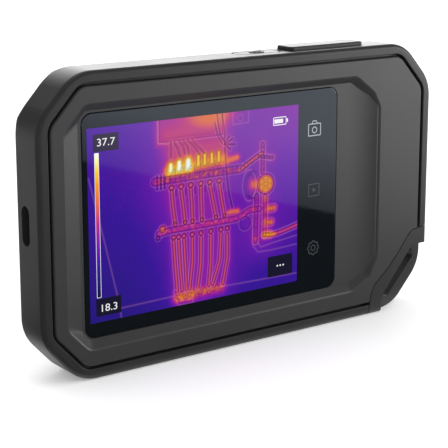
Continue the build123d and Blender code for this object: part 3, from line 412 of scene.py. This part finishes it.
def manifold_picture(x, z):
    """Heat and outline of a heating manifold: a warm box, hot valves, two bars and two rows of tubes."""
    s = HeatScene(x, z)
    # General warmth round the tubes and at the top right.
    s.warm(s.far([(-18, 50), (-17, 22)]), 0.40, 12)
    s.warm(s.far([(-20, 64), (-19, 52)]), 0.44, 12)
    s.warm(s.far([(3, 58), (4, 32)]), 0.38, 7)
    s.warm(s.far([(-26, 59), (-10, 59.5)]), 0.54, 3.4)
    # Warm wall box at the top, hottest at its upper right, with its outline.
    box = np.maximum(np.maximum(-31.2 - x, x + 9.2), 62.1 - z)
    s.warm(np.maximum(box, 0), 0.47, 1.0)
    s.warm(np.hypot((x + 14) / 2.0, z - 68.5) - 1.0, 0.68, 3.0)
    s.warm(s.far([(-28, 64), (-12, 66)]), 0.54, 3.0)
    s.ink(box, 0.55)
    s.ink(box + 0.4, -0.4)
    s.ink(s.far([(-31.4, 70), (-31.4, 62.4), (-28, 61.6)]), 0.5)
    s.ink(s.far([(-29.4, 63.4), (-14, 63.4), (-11.4, 64.6)]), -0.3)
    for points in FAN:
        s.warm(s.far(points), 0.54, 0.7)
        s.edge(points, 0.22, -0.6, 0.4)
    for points in CABLES:
        s.edge(points, 0.1, -0.7, 0.4)
    # Hot valves in a row: the three on the left white hot, the rest yellow with dark bodies.
    s.warm(s.far([(-28.0, 54.2), (-9.6, 55.6)]), 0.76, 1.7)
    s.warm(s.far([(-28.0, 53.6), (-20.6, 53.9)]), 0.84, 1.0)
    s.warm(s.far([(-9.6, 54.6), (-4.6, 55.4)]), 0.68, 1.0)
    for across, low, high, level, width in VALVES:
        body = s.far([(across, low), (across, high)])
        s.warm(body, level, width)
        if width < 1:
            s.ink(body - 0.62, -0.75, 0.2)
        else:
            s.ink(body - 0.75, -0.45, 0.16)
            s.ink(body - 1.15, -0.35, 0.14)
            s.ring(across + 0.9, low - 0.4, 0.5, -0.5, 0.14)
        s.ink(s.far([(across - 1.3, low - 1.6), (across - 1.3, low + 0.2)]), -0.5, 0.2)
        s.ring(across, low - 1.9, 0.6, -0.6)
    # Upper bar, mottled, with end fittings and the branch to the riser.
    d = s.far(UPPER_BAR)
    s.warm(d, 0.50 + 0.06 * s.blotch, 1.1)
    s.edge(UPPER_BAR, 1.0, -0.7, 0.4)
    s.ink(d, -0.35, 0.2)
    for step in np.arange(-30.6, -4, 1.62):
        s.ink(s.far([(step, 51.0), (step, 52.6)]), -0.55, 0.22)
    branch = [(-2.9, 52.0), (1.2, 54.2), (4.3, 55.6)]
    s.pipe(branch, 0.58, 0.6, 1.2)
    for bx, bz in ((-1.4, 52.9), (0.6, 53.8), (2.6, 54.8)):
        s.ring(bx, bz, 0.7, -0.8)
    for ex in (-31.7, -30.5, -29.3):
        s.edge([(ex, 49.6), (ex, 53.2)], 0.15, -0.7, 0.4)
    # Lower bar with its row of beads, end fittings and a warm tap.
    d = s.far(LOWER_BAR)
    s.warm(d, 0.50 + 0.05 * s.blotch, 1.0)
    s.edge(LOWER_BAR, 0.8, -0.7, 0.42)
    s.spot(-30.1, 38.1, 0.66, 1.0)
    s.fitting(-30.1, 38.1, 0.62, 0.9)
    s.fitting(-31.6, 35.9, 0.40, 0.6)
    s.warm(s.far([(-7.5, 39.8), (-4.4, 39.8)]), 0.66, 0.9)
    s.ring(-1.7, 35.8, 1.9)
    s.ring(-1.7, 35.8, 2.3, 0.35)
    for points in UPPER_TUBES:
        s.pipe(points, 0.60, 0.42, 1.7)
        s.fitting(points[0][0], 49.4)
        s.fitting(points[-1][0], 39.0, 0.6, 0.6)
        s.edge([(points[0][0] + 1.5, 48.6), (points[0][0] + 1.5, 46.8)], 0.12, -0.5, 0.2)
    for points in LOWER_TUBES:
        s.pipe(points, 0.60, 0.42, 1.6)
        s.fitting(points[0][0], 35.2, 0.58, 0.7)
    s.warm(s.far([(-20, 45), (-20, 42)]) - 0.2, 0.3, 0.2)
    # Bright cluster of unions at the floor.
    s.warm(s.far([(-25.4, 17.4), (-20.5, 17.6)]), 0.70 + 0.05 * s.blotch, 1.6)
    s.warm(s.far([(-20, 18.2), (-10.4, 18.0)]), 0.60 + 0.05 * s.blotch, 1.4)
    for k, px in enumerate(np.arange(-25.4, -9.6, 1.35)):
        s.ring(px, 17.9 + 0.7 * math.sin(2.1 * k), 0.62, -0.6)
    s.edge([(-26.2, 19.6), (-24.7, 15.9), (-20.5, 15.9)], 0.15, -0.3, 0.5)
    # Pump: a round head with rings and bolts, its body, and the flange behind it.
    pump = np.hypot(x - 5.7, z - 46.4)
    s.warm(np.maximum(pump - 1.9, 0), 0.76, 0.8)
    for radius, amount in ((3.0, -0.9), (3.4, 0.45), (2.3, -0.55), (1.3, -0.45), (0.7, -0.8)):
        s.ring(5.7, 46.4, radius, amount)
    for k in range(6):
        s.ring(5.7 + 1.8 * math.cos(k * math.pi / 3), 46.4 + 1.8 * math.sin(k * math.pi / 3), 0.25, -0.5)
    s.warm(s.far([(1.4, 46.8), (3.0, 46.6)]), 0.66, 1.7)
    for centre, reach in ((0.6, 2.0), (1.2, 2.0), (-0.2, 1.6)):
        s.ink(np.hypot((x - centre) * 1.9, z - 46.7) - reach * 2.0, -0.5, 0.22)
    s.ink(np.hypot((x + 0.3) * 1.9, z - 46.7) - 4.6, 0.45, 0.22)
    # Riser with its cross handle above, and the two pipes below the pump.
    for points, level, radius in (
        ([(4.5, 58.2), (4.5, 50.0)], 0.46, 0.6), ([(2.4, 43.4), (2.0, 29.9)], 0.44, 0.7),
        ([(5.5, 43.0), (5.3, 31.3)], 0.50, 0.6),
        ([(3.0, 54.9), (8.1, 53.9)], 0.44, 0.4),
    ):
        s.warm(s.far(points), level, 1.3)
        s.edge(points, radius)
        for (ax, az), (bx, bz) in zip(points[:-1], points[1:]):
            for t in np.linspace(0.1, 0.9, 5):
                s.ink(s.far([(ax + (bx - ax) * t - 0.5, az + (bz - az) * t),
                             (ax + (bx - ax) * t + 0.5, az + (bz - az) * t + 0.1)]), -0.5)
    s.ring(7.0, 53.9, 0.8, 0.45)
    s.spot(5.4, 42.0, 0.62, 0.9)
    s.spot(1.9, 30.6, 0.56, 0.8)
    for (hx, hz), level in (((7.8, 38.9), 0.70), ((6.8, 34.8), 0.68), ((6.4, 31.2), 0.80)):
        d = s.far([(hx - 0.9, hz), (hx + 0.9, hz)])
        s.warm(d, level + 0.03 * s.blotch, 1.0)
        s.ink(d - 1.3, 0.42)
        s.ring(hx, hz, 0.6, -0.6)
    s.warm(s.far([(11.6, 35.0), (12.6, 34.8)]), 0.16, 0.1)
    s.pipe([(5.1, 31.3), (7.8, 30.9), (11.5, 31.3), (17.8, 32.6)], 0.56, 0.55, 0.9)
    s.warm(s.far([(5.1, 31.3), (9.0, 31.0)]), 0.74, 0.6)
    for points in FAINT_LINES:
        s.ink(s.far(points), 0.34, 0.2)
    s.ring(-3.4, 66.6, 0.9, 0.3)
    s.ring(-3.4, 66.6, 0.5, -0.3)
    return np.clip(s.heat, 0, 1), np.clip(s.line, -1, 1)


def picture_grid(columns=320, rows=240):
    """The lit area as a flat grid: x runs across and z up in even steps, at the picture's depth."""
    across = np.linspace(LIT_X - LIT_WIDTH / 2, LIT_X + LIT_WIDTH / 2, columns)
    upward = np.linspace(LIT_Z - LIT_HEIGHT / 2, LIT_Z + LIT_HEIGHT / 2, rows)
    x, z = np.meshgrid(across, upward)
    points = np.stack([x, np.full_like(x, PICTURE_Y), z], -1).reshape(-1, 3)
    first = (np.arange(rows - 1)[:, None] * columns + np.arange(columns - 1)).ravel()
    faces = np.stack([first, first + 1, first + columns + 1, first + columns], -1)
    return x, z, points, faces


# ---------------------------------------------------------------------------------------------
# Flat marks on the glass
# ---------------------------------------------------------------------------------------------


def rounded_loop(width, height, radius, steps=6):
    """Points of a rounded rectangle about nought: four corner arcs, joined by straight sides."""
    turn = np.linspace(0, math.pi / 2, steps)
    corners = [(1, 1, 0), (-1, 1, 1), (-1, -1, 2), (1, -1, 3)]
    arcs = [np.stack([sx * (width / 2 - radius) + radius * np.cos(turn + q * math.pi / 2),
                      sz * (height / 2 - radius) + radius * np.sin(turn + q * math.pi / 2)], -1)
            for sx, sz, q in corners]
    return np.concatenate(arcs)


def round_loop(radius, steps=40):
    """Points of a circle about nought."""
    turn = np.linspace(0, 2 * math.pi, steps, endpoint=False)
    return np.stack([radius * np.cos(turn), radius * np.sin(turn)], -1)


def cog_loop(radius, depth, teeth=8, steps=160):
    """Points of a cog: its radius swells and sinks by depth, in a squared-off wave, once for each tooth."""
    turn = np.linspace(0, 2 * math.pi, steps, endpoint=False)
    reach = radius + depth * np.tanh(3 * np.cos(teeth * turn))
    return np.stack([reach * np.cos(turn), reach * np.sin(turn)], -1)


def filled(loop, x, z, y):
    """A flat shape: the loop's points moved to x, z at depth y, as one face turned towards the user."""
    points = np.stack([loop[:, 0] + x, np.full(len(loop), y), loop[:, 1] + z], -1)
    return points, [tuple(range(len(loop)))]


def traced(loop, x, z, y, width, closed=True):
    """A line of even width along a loop: each point moved half the width to either side, along its normal."""
    before = np.roll(loop, 1, axis=0) if closed else np.concatenate([loop[:1], loop[:-1]])
    after = np.roll(loop, -1, axis=0) if closed else np.concatenate([loop[1:], loop[-1:]])
    along = after - before
    along = along / np.linalg.norm(along, axis=1, keepdims=True)
    side = np.stack([along[:, 1], -along[:, 0]], -1) * width / 2
    both = np.concatenate([loop + side, loop - side])
    points = np.stack([both[:, 0] + x, np.full(len(both), y), both[:, 1] + z], -1)
    count = len(loop)
    here = np.arange(count if closed else count - 1)
    ahead = (here + 1) % count
    faces = np.stack([here, ahead, ahead + count, here + count], -1)
    return points, [tuple(f) for f in faces.tolist()]


def marks(name, shapes, material):
    """One piece from several flat shapes."""
    points, faces, start = [], [], 0
    for shape_points, shape_faces in shapes:
        points.append(shape_points)
        faces += [tuple(i + start for i in face) for face in shape_faces]
        start += len(shape_points)
    return piece_from(name, np.concatenate(points), faces, material)


def number_mark(name, text, x, z, height, material):
    """Digits in a plain face, made a flat mesh and set upright on the glass."""
    curve = bpy.data.curves.new(name, "FONT")
    curve.body, curve.size = text, height / 0.72
    curve.align_x, curve.align_y = "CENTER", "CENTER"
    holder = bpy.data.objects.new(name + "_text", curve)
    bpy.context.scene.collection.objects.link(holder)
    bpy.context.view_layer.update()
    flat = bpy.data.meshes.new_from_object(holder.evaluated_get(bpy.context.evaluated_depsgraph_get()))
    bpy.data.objects.remove(holder)
    points = np.empty(len(flat.vertices) * 3)
    flat.vertices.foreach_get("co", points)
    points = points.reshape(-1, 3)
    # The built-in face is narrow, so it is widened to the shape of screen digits.
    upright = np.stack([points[:, 0] * DIGIT_WIDENING + x, np.full(len(points), INK_Y), points[:, 1] + z],
                       -1)
    faces = [tuple(p.vertices) for p in flat.polygons]
    bpy.data.meshes.remove(flat)
    return piece_from(name, upright, faces, material)


# ---------------------------------------------------------------------------------------------
# Settings, operators and panel
# ---------------------------------------------------------------------------------------------


def colour_setting(name, description, code):
    """A colour property with its default from a hex code."""
    return FloatVectorProperty(name=name, description=description, subtype="COLOR", size=4, min=0, max=1,
                               default=linear(code))


class ThermalCameraSettings(bpy.types.PropertyGroup):
    """Sizes and colours that a user would change."""

    bumper_colour: colour_setting("Bumper", "Colour of the soft bumper band and buttons", "#252526")
    cover_colour: colour_setting("Front cover", "Colour of the bevelled front cover", "#323233")
    rear_colour: colour_setting("Rear cover", "Colour of the rear cover", "#272728")
    guard_colour: colour_setting("Strap corner", "Colour of the strap corner", "#29292a")
    picture_strength: FloatProperty(name="Screen light", description="Brightness of the lit picture",
                                    default=0.85, min=0.0, max=5.0)
    high_reading: StringProperty(name="High reading", description="Number above the colour scale",
                                 default="37.7")
    low_reading: StringProperty(name="Low reading", description="Number below the colour scale",
                                default="18.3")
    digit_height: FloatProperty(name="Digit height", description="Height of the readings", default=2.1 * MM,
                                unit="LENGTH", min=0.5 * MM, max=6 * MM)


class THERMAL_OT_casing(bpy.types.Operator):
    """Finishes the bumper, covers, strap corner, buttons, seals and screws"""

    bl_idname = "thermal.casing"
    bl_label = "Finish casing"

    def execute(self, context):
        s = context.scene.thermal_camera
        # Thermoplastic rubber, moulded over the covers: dark and nearly matt, with a soft even grain.
        rubber = moulded("overmoulded_rubber", s.bumper_colour, 0.35, 0.02, 0.44)
        paint(["bumper_band", "save_button", "power_button"], rubber)
        # Glass-filled polycarbonate, spark-eroded mould: fine grain with a low sheen.
        paint(["front_cover"], moulded("textured_polycarbonate_front", s.cover_colour, 0.30, 0.015, 0.42))
        paint(["rear_cover"], moulded("textured_polycarbonate_rear", s.rear_colour, 0.45, 0.03, 0.5))
        # Nylon, a shade darker and coarser than the covers.
        paint(["corner_guard"], moulded("moulded_nylon", s.guard_colour, 0.40, 0.025, 0.45))
        # Silicone gaskets: black and dull.
        paint(["case_seal", "display_seal", "port_seal"],
              moulded("silicone_seal", linear("#0b0b0c"), 0.3, 0.01, 0.6))
        # Blackened steel screws and the turned brass socket.
        paint(["case_screws", "inner_screws"], metal("blackened_steel", linear("#4a4a4c"), 0.38))
        paint(["tripod_insert"], metal("turned_brass", linear("#b8924a"), 0.3))
        return {"FINISHED"}


class THERMAL_OT_optics(bpy.types.Operator):
    """Finishes the lens plate, lenses, lamp and port on the casing"""

    bl_idname = "thermal.optics"
    bl_label = "Finish optics and port"

    def execute(self, context):
        # Gloss black polycarbonate plate round the apertures.
        paint(["optics_plate"], polished("gloss_black_polycarbonate", linear("#070708"), 0.08))
        # Coated germanium: opaque to the eye, a dark mirror with a violet cast.
        paint(["ir_lens"], metal("coated_germanium", linear("#57506e"), 0.12, 0.8, (1, 1, 1)))
        paint(["ir_barrel", "camera_module"], metal("black_anodised_aluminium", linear("#1c1c1e"), 0.4))
        paint(["camera_lens", "camera_window"], clear("coated_lens_glass", linear("#e8f2ff")))
        paint(["lamp_lens"], clear("frosted_acrylic", linear("#fbfbf4"), 0.25, 1.49))
        paint(["lamp_board"], moulded("white_circuit_board", linear("#cfcfc4"), 0.4, 0.01, 0.4))
        # Stainless port shell with a black nylon tongue.
        paint(["usb_shell"], metal("deep_drawn_stainless", linear("#a8a8a6"), 0.28))
        paint(["usb_tongue"], moulded("glass_filled_nylon", linear("#0d0d0e"), 0.3, 0.01, 0.5))
        return {"FINISHED"}


class THERMAL_OT_inside(bpy.types.Operator):
    """Finishes the boards, plate, battery, shutter and flexible circuits inside"""

    bl_idname = "thermal.inside"
    bl_label = "Finish inside"

    def execute(self, context):
        # Solder mask over glass-epoxy board: dark green with a soft gloss.
        paint(["main_board", "button_board", "wifi_antenna"],
              moulded("solder_mask_green", linear("#0f4a28"), 0.6, 0.02, 0.35))
        paint(["board_chips", "ir_sensor"], moulded("epoxy_chip_body", linear("#1a1a1c"), 0.2, 0.01, 0.5))
        paint(["board_sockets"], moulded("ivory_connector_nylon", linear("#d8d2c0"), 0.4, 0.01, 0.45))
        paint(["display_flex", "button_flex", "optics_flex"],
              moulded("polyimide_film", linear("#b0701c"), 0.8, 0.01, 0.3))
        paint(["battery_lead"], moulded("pvc_wire", linear("#8c1c18"), 0.4, 0.01, 0.4))
        paint(["battery"], metal("battery_pouch_foil", linear("#b4b6ba"), 0.35, 1.2, (1, 1, 1)))
        paint(["mid_plate", "ir_housing"],
              metal("die_cast_magnesium", linear("#9a9c9e"), 0.5, 0.6, (1, 1, 1)))
        paint(["shield_can", "lcd_tray", "save_switch", "power_switch", "shutter_flag"],
              metal("tinned_sheet_steel", linear("#b8b8b6"), 0.3))
        paint(["shutter_coil"], metal("enamelled_copper_wire", linear("#b5632c"), 0.3, 0.2, (1, 20, 1)))
        paint(["light_guide"], moulded("acrylic_light_guide", linear("#eeeeea"), 0.6, 0.01, 0.2))
        paint(["lcd_panel"], polished("liquid_crystal_panel", linear("#0a0a0c"), 0.1))
        return {"FINISHED"}


class THERMAL_OT_glass(bpy.types.Operator):
    """Finishes the cover glass and draws the lit picture on it"""

    bl_idname = "thermal.glass"
    bl_label = "Glass and lit picture"

    def execute(self, context):
        s = context.scene.thermal_camera
        # Chemically strengthened glass over black back-printing: a dark mirror with a cool coating.
        paint(["display_glass"],
              polished("back_printed_cover_glass", linear("#101316"), 0.03, "#e0ecff", 1.58))
        x, z, points, faces = picture_grid()
        picture = piece_from("lit_picture", points, faces.tolist(),
                             heat_picture("lit_panel", s.picture_strength))
        heat, line = manifold_picture(x / MM, z / MM)
        for name, values in (("warmth", heat), ("outline", line)):
            picture.data.attributes.new(name, "FLOAT", "POINT").data.foreach_set("value",
                                                                                 values.ravel().astype(np.float32))
        return {"FINISHED"}


class THERMAL_OT_readings(bpy.types.Operator):
    """Adds the readings, colour scale and menu button to the lit picture"""

    bl_idname = "thermal.readings"
    bl_label = "Readings and colour scale"

    def execute(self, context):
        s = context.scene.thermal_camera
        panel = glowing("dark_screen_panel", linear("#1a1830"), 0.8)
        violet = glowing("violet_screen_panel", linear("#2c2046"), 0.8)
        ink = glowing("white_screen_ink", linear("#f4f4f4"), 0.95)
        left = LIT_X - LIT_WIDTH / 2
        low = LIT_Z - LIT_HEIGHT / 2
        reading_x, high_z, low_z = left + 5.8 * MM, low + 49.2 * MM, low + 4.1 * MM
        high_patch = filled(rounded_loop(7.9 * MM, 4.7 * MM, 0.2 * MM), reading_x, high_z, PATCH_Y)
        marks("high_patch", [high_patch], violet)
        patches = [
            filled(rounded_loop(7.9 * MM, 4.9 * MM, 0.2 * MM), reading_x, low_z, PATCH_Y),
            filled(rounded_loop(9.2 * MM, 6.2 * MM, 0.2 * MM), left + 64.7 * MM, low + 5.9 * MM, PATCH_Y),
        ]
        marks("screen_patches", patches, panel)
        number_mark("high_reading", s.high_reading, reading_x, high_z, s.digit_height, ink)
        number_mark("low_reading", s.low_reading, reading_x, low_z - 0.4 * MM, s.digit_height, ink)
        scale_x, scale_z, scale_w, scale_h = left + 2.85 * MM, low + 26.7 * MM, 1.25 * MM, 39.6 * MM
        loop = rounded_loop(scale_w, scale_h, 0.1 * MM, 3)
        lines = [traced(loop, scale_x, scale_z, INK_Y, 0.14 * MM)]
        lines += [filled(round_loop(0.28 * MM, 16), left + (63.65 + 1.1 * i) * MM, low + 5.9 * MM,
                         INK_Y) for i in range(3)]
        # A plain battery sign at the top right.
        sign_x, sign_z = left + 64.2 * MM, low + 49.1 * MM
        lines.append(traced(rounded_loop(4.6 * MM, 2.2 * MM, 0.3 * MM), sign_x, sign_z, INK_Y, 0.26 * MM))
        lines.append(filled(rounded_loop(3.2 * MM, 1.2 * MM, 0.1 * MM), sign_x - 0.4 * MM, sign_z, INK_Y))
        lines.append(filled(rounded_loop(0.5 * MM, 1.0 * MM, 0.1 * MM), sign_x + 2.75 * MM, sign_z, INK_Y))
        marks("screen_signs", lines, ink)
        rows = 60
        height = np.linspace(-0.5, 0.5, rows)
        side = np.array([-0.5, 0.5]) * scale_w
        across, up = np.meshgrid(side, height * scale_h)
        points = np.stack([across + scale_x, np.full_like(across, PATCH_Y), up + scale_z], -1).reshape(-1, 3)
        first = np.arange(rows - 1) * 2
        faces = np.stack([first, first + 1, first + 3, first + 2], -1).tolist()
        bar = piece_from("colour_scale", points, faces, heat_picture("lit_scale", 1.0))
        levels = np.repeat(np.linspace(0.0, 1.0, rows), 2).astype(np.float32)
        bar.data.attributes.new("warmth", "FLOAT", "POINT").data.foreach_set("value", levels)
        bar.data.attributes.new("outline", "FLOAT", "POINT").data.foreach_set("value", levels * 0)
        return {"FINISHED"}


class THERMAL_OT_touch_signs(bpy.types.Operator):
    """Adds the back-lit touch signs on the glass: shutter, pictures and settings"""

    bl_idname = "thermal.touch_signs"
    bl_label = "Touch signs"

    def execute(self, context):
        x = (LIT_X + LIT_WIDTH / 2 + GLASS_HIGH.x) / 2 - 1.2 * MM
        middle = (GLASS_LOW.z + GLASS_HIGH.z) / 2
        y = GLASS_LOW.y - LAYER
        line = 0.3 * MM
        lit = glowing("lit_touch_sign", linear("#c8ccd0"), 0.75)
        dim = glowing("dim_touch_sign", linear("#8c9096"), 0.28)
        z = middle + 18.6 * MM
        bump = np.array([[-1.0, 1.75], [-0.6, 2.6], [0.6, 2.6], [1.0, 1.75]]) * MM
        marks("shutter_sign", [
            traced(rounded_loop(4.6 * MM, 3.5 * MM, 0.2 * MM), x, z, y, line),
            traced(round_loop(0.85 * MM), x, z - 0.1 * MM, y, line),
            traced(bump, x, z, y, line, closed=False),
        ], lit)
        z = middle + 0.4 * MM
        arrow = np.array([[-0.4, -0.7], [0.7, 0.0], [-0.4, 0.7]]) * MM
        marks("pictures_sign", [
            traced(rounded_loop(4.0 * MM, 3.6 * MM, 0.2 * MM), x, z, y, line * 0.8),
            filled(arrow, x, z, y),
        ], dim)
        z = middle - 17.4 * MM
        marks("settings_sign", [
            traced(cog_loop(1.95 * MM, 0.2 * MM), x, z, y, line * 0.8),
            traced(round_loop(0.8 * MM), x, z, y, line * 0.8),
        ], dim)
        return {"FINISHED"}


class THERMAL_OT_stage(bpy.types.Operator):
    """Adds the floor, the studio lights and the camera"""

    bl_idname = "thermal.stage"
    bl_label = "Studio"

    def execute(self, context):
        scene = context.scene
        scene.view_settings.view_transform = "Standard"
        half = FLOOR_HALF
        floor_mesh = bpy.data.meshes.new("floor")
        floor_mesh.from_pydata([(-half, -half, 0), (half, -half, 0), (half, half, 0), (-half, half, 0)], [],
                               [(0, 1, 2, 3)])
        floor = bpy.data.objects.new("floor", floor_mesh)
        scene.collection.objects.link(floor)
        floor_mesh.materials.append(lit_board("pale_lit_board"))
        # Low black cards, seen only in reflections, as studio flags are: one before the glass, one at the left.
        for name, corners, edge in (
            ("front_card", [(-0.40, -0.014), (-0.40, -0.48), (0.20, -0.48), (0.282, -0.014)],
             ((0.060, -0.48), (0.985, -0.173))),
            ("left_card", [(-0.9, -0.3), (-0.072, -0.012), (-0.072, 0.02), (-0.50, 0.9), (-1.2, 0.9)],
             ((0.0, 0.0), (1.0, 0.0))),
        ):
            card_mesh = bpy.data.meshes.new(name)
            card_mesh.from_pydata([(x, y, CARD_LIFT) for x, y in corners], [], [tuple(range(len(corners)))])
            card = bpy.data.objects.new(name, card_mesh)
            scene.collection.objects.link(card)
            card_mesh.materials.append(faded_card(name + "_felt", *edge))
            card.visible_camera = card.visible_diffuse = card.visible_shadow = card.visible_transmission = False
        world = bpy.data.worlds.new("studio")
        scene.world = world
        world.use_nodes = True
        tree = world.node_tree
        tree.nodes.clear()
        # An even white tent; gloss sees little of it, as with a tent's far and unlit walls.
        kind = add_node(tree, "ShaderNodeLightPath").outputs["Is Glossy Ray"]
        level = add_node(tree, "ShaderNodeMapRange", {"To Min": 1.0, "To Max": 0.16}, {"Value": kind})
        sky = add_node(tree, "ShaderNodeBackground", {"Color": (1, 1, 1, 1)},
                       {"Strength": level.outputs["Result"]})
        add_node(tree, "ShaderNodeOutputWorld", {}, {"Surface": sky.outputs[0]})
        for name, spot, size, power in (("right_light", (0.75, -0.52, 0.14), (0.26, 0.40), 3.2),
                                        ("back_light", (0.75, 1.05, 0.42), (1.6, 0.7), 17.0),
                                        ("top_light", (0.0, 0.35, 1.2), (0.9, 0.9), 3.0)):
            light = bpy.data.lights.new(name, "AREA")
            light.shape, light.size, light.size_y, light.energy = "RECTANGLE", *size, power
            lamp = bpy.data.objects.new(name, light)
            lamp.location = spot
            lamp.rotation_euler = (Vector(LIGHT_AIM) - Vector(spot)).to_track_quat("-Z", "Y").to_euler()
            lamp.visible_camera = False
            lamp.visible_diffuse = name != "back_light"
            scene.collection.objects.link(lamp)
        view = bpy.data.cameras.new("camera")
        view.sensor_width, view.lens = 36.0, CAMERA_LENS
        view.shift_y = CAMERA_SHIFT
        view.clip_start, view.clip_end = 0.01, 20.0
        camera = bpy.data.objects.new("camera", view)
        yaw, pitch, roll = (math.radians(angle) for angle in CAMERA_ANGLES)
        camera.location = CAMERA_PLACE
        camera.rotation_mode = "XYZ"
        camera.rotation_euler = (math.pi / 2 - pitch, roll, -yaw)
        scene.collection.objects.link(camera)
        scene.camera = camera
        return {"FINISHED"}


class THERMAL_PT_panel(bpy.types.Panel):
    """Lists the settings and the steps"""

    bl_idname = "THERMAL_PT_panel"
    bl_label = "Thermal camera"
    bl_space_type = "VIEW_3D"
    bl_region_type = "UI"
    bl_category = "Thermal camera"

    def draw(self, context):
        settings = context.scene.thermal_camera
        for name in settings.bl_rna.properties.keys():
            if name not in ("rna_type", "name"):
                self.layout.prop(settings, name)
        for step in STEPS:
            self.layout.operator(step.bl_idname)


STEPS = (THERMAL_OT_casing, THERMAL_OT_optics, THERMAL_OT_inside, THERMAL_OT_glass, THERMAL_OT_readings,
         THERMAL_OT_touch_signs, THERMAL_OT_stage)
CLASSES = (ThermalCameraSettings, *STEPS, THERMAL_PT_panel)


def register():
    for cls in CLASSES:
        bpy.utils.register_class(cls)
    bpy.types.Scene.thermal_camera = PointerProperty(type=ThermalCameraSettings)


def unregister():
    del bpy.types.Scene.thermal_camera
    for cls in reversed(CLASSES):
        bpy.utils.unregister_class(cls)


def main():
    """Builds everything in order."""
    register()
    bpy.ops.thermal.casing()
    bpy.ops.thermal.optics()
    bpy.ops.thermal.inside()
    bpy.ops.thermal.glass()
    bpy.ops.thermal.readings()
    bpy.ops.thermal.touch_signs()
    bpy.ops.thermal.stage()


if __name__ == "__main__":
    main()
